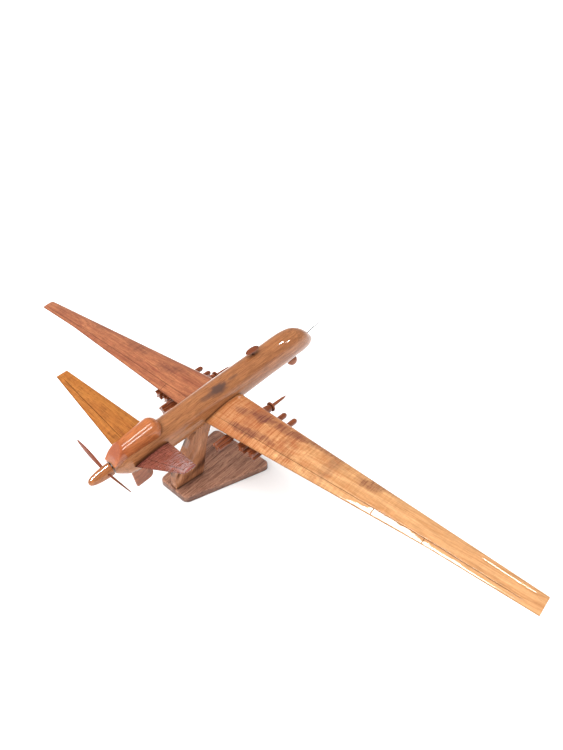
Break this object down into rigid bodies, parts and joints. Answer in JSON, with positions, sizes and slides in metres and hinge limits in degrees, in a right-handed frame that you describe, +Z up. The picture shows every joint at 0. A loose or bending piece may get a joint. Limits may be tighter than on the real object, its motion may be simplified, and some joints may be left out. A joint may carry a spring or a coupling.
{
  "type": "propeller aircraft desk model",
  "caption": "Carved and lacquered wooden desk model of a long-winged V-tailed aircraft with a rear pusher propeller and underwing stores, on a curved-arm wooden stand.",
  "frame": {"origin": "middle of the base board's underside, where the model stands on a table", "axes": "+X forward to the nose, +Y to the port wing tip, +Z up"},
  "size_m": [0.2865, 0.628, 0.1164],
  "materials": {
    "stand_wood": "satin lacquered dark mahogany",
    "dowel_wood": "plain unfinished beech dowel",
    "body_wood": "gloss lacquered mahogany",
    "red_wood": "gloss lacquered red-brown mahogany",
    "golden_wood": "gloss lacquered figured golden mahogany",
    "cowl_wood": "gloss lacquered orange-brown mahogany",
    "dark_wood": "dark stained mahogany",
    "store_wood": "gloss lacquered dark red-brown mahogany",
    "steel": "plain drawn steel"
  },
  "bodies": {
    "stand": {"base_board": "stand_wood", "stand_arm": "stand_wood", "arm_screws": "steel", "stand_peg": "dowel_wood"},
    "aircraft": {"fuselage": "body_wood", "wing_dowels": "dowel_wood", "port_wing": "red_wood", "starboard_wing": "golden_wood", "engine_cowl": "cowl_wood", "cowl_dowel": "dowel_wood", "port_tail_fin": "golden_wood", "starboard_tail_fin": "red_wood", "tail_pins": "dowel_wood", "ventral_fin": "red_wood", "ventral_pin": "dowel_wood", "nose_probe": "steel", "antenna_stalk": "dark_wood", "antenna_cap": "cowl_wood", "sensor_neck": "dark_wood", "sensor_ball": "cowl_wood", "propeller_pin": "steel", "port_bomb_pylon": "store_wood", "starboard_bomb_pylon": "store_wood", "port_bomb": "store_wood", "starboard_bomb": "store_wood", "port_bomb_collar": "store_wood", "starboard_bomb_collar": "store_wood", "port_bomb_fins": "store_wood", "starboard_bomb_fins": "store_wood", "port_missile_pylon": "store_wood", "starboard_missile_pylon": "store_wood", "port_launcher": "store_wood", "starboard_launcher": "store_wood", "port_inner_missile": "store_wood", "port_outer_missile": "store_wood", "starboard_inner_missile": "store_wood", "starboard_outer_missile": "store_wood", "port_inner_fins": "store_wood", "port_outer_fins": "store_wood", "starboard_inner_fins": "store_wood", "starboard_outer_fins": "store_wood"},
    "propeller": {"spinner": "cowl_wood", "port_blade": "store_wood", "starboard_blade": "store_wood"}
  },
  "joints": [
    {"name": "aircraft_lift", "type": "slide", "parent": "stand", "child": "aircraft", "axis": [-0.1685, 0, 0.9857], "range_m": [0, 0.014]},
    {"name": "propeller_spin", "type": "hinge", "parent": "aircraft", "child": "propeller", "pos_m": [-0.10569, 0, 0.06547], "axis": [0.9857, 0, 0.1685], "continuous": true}
  ]
}
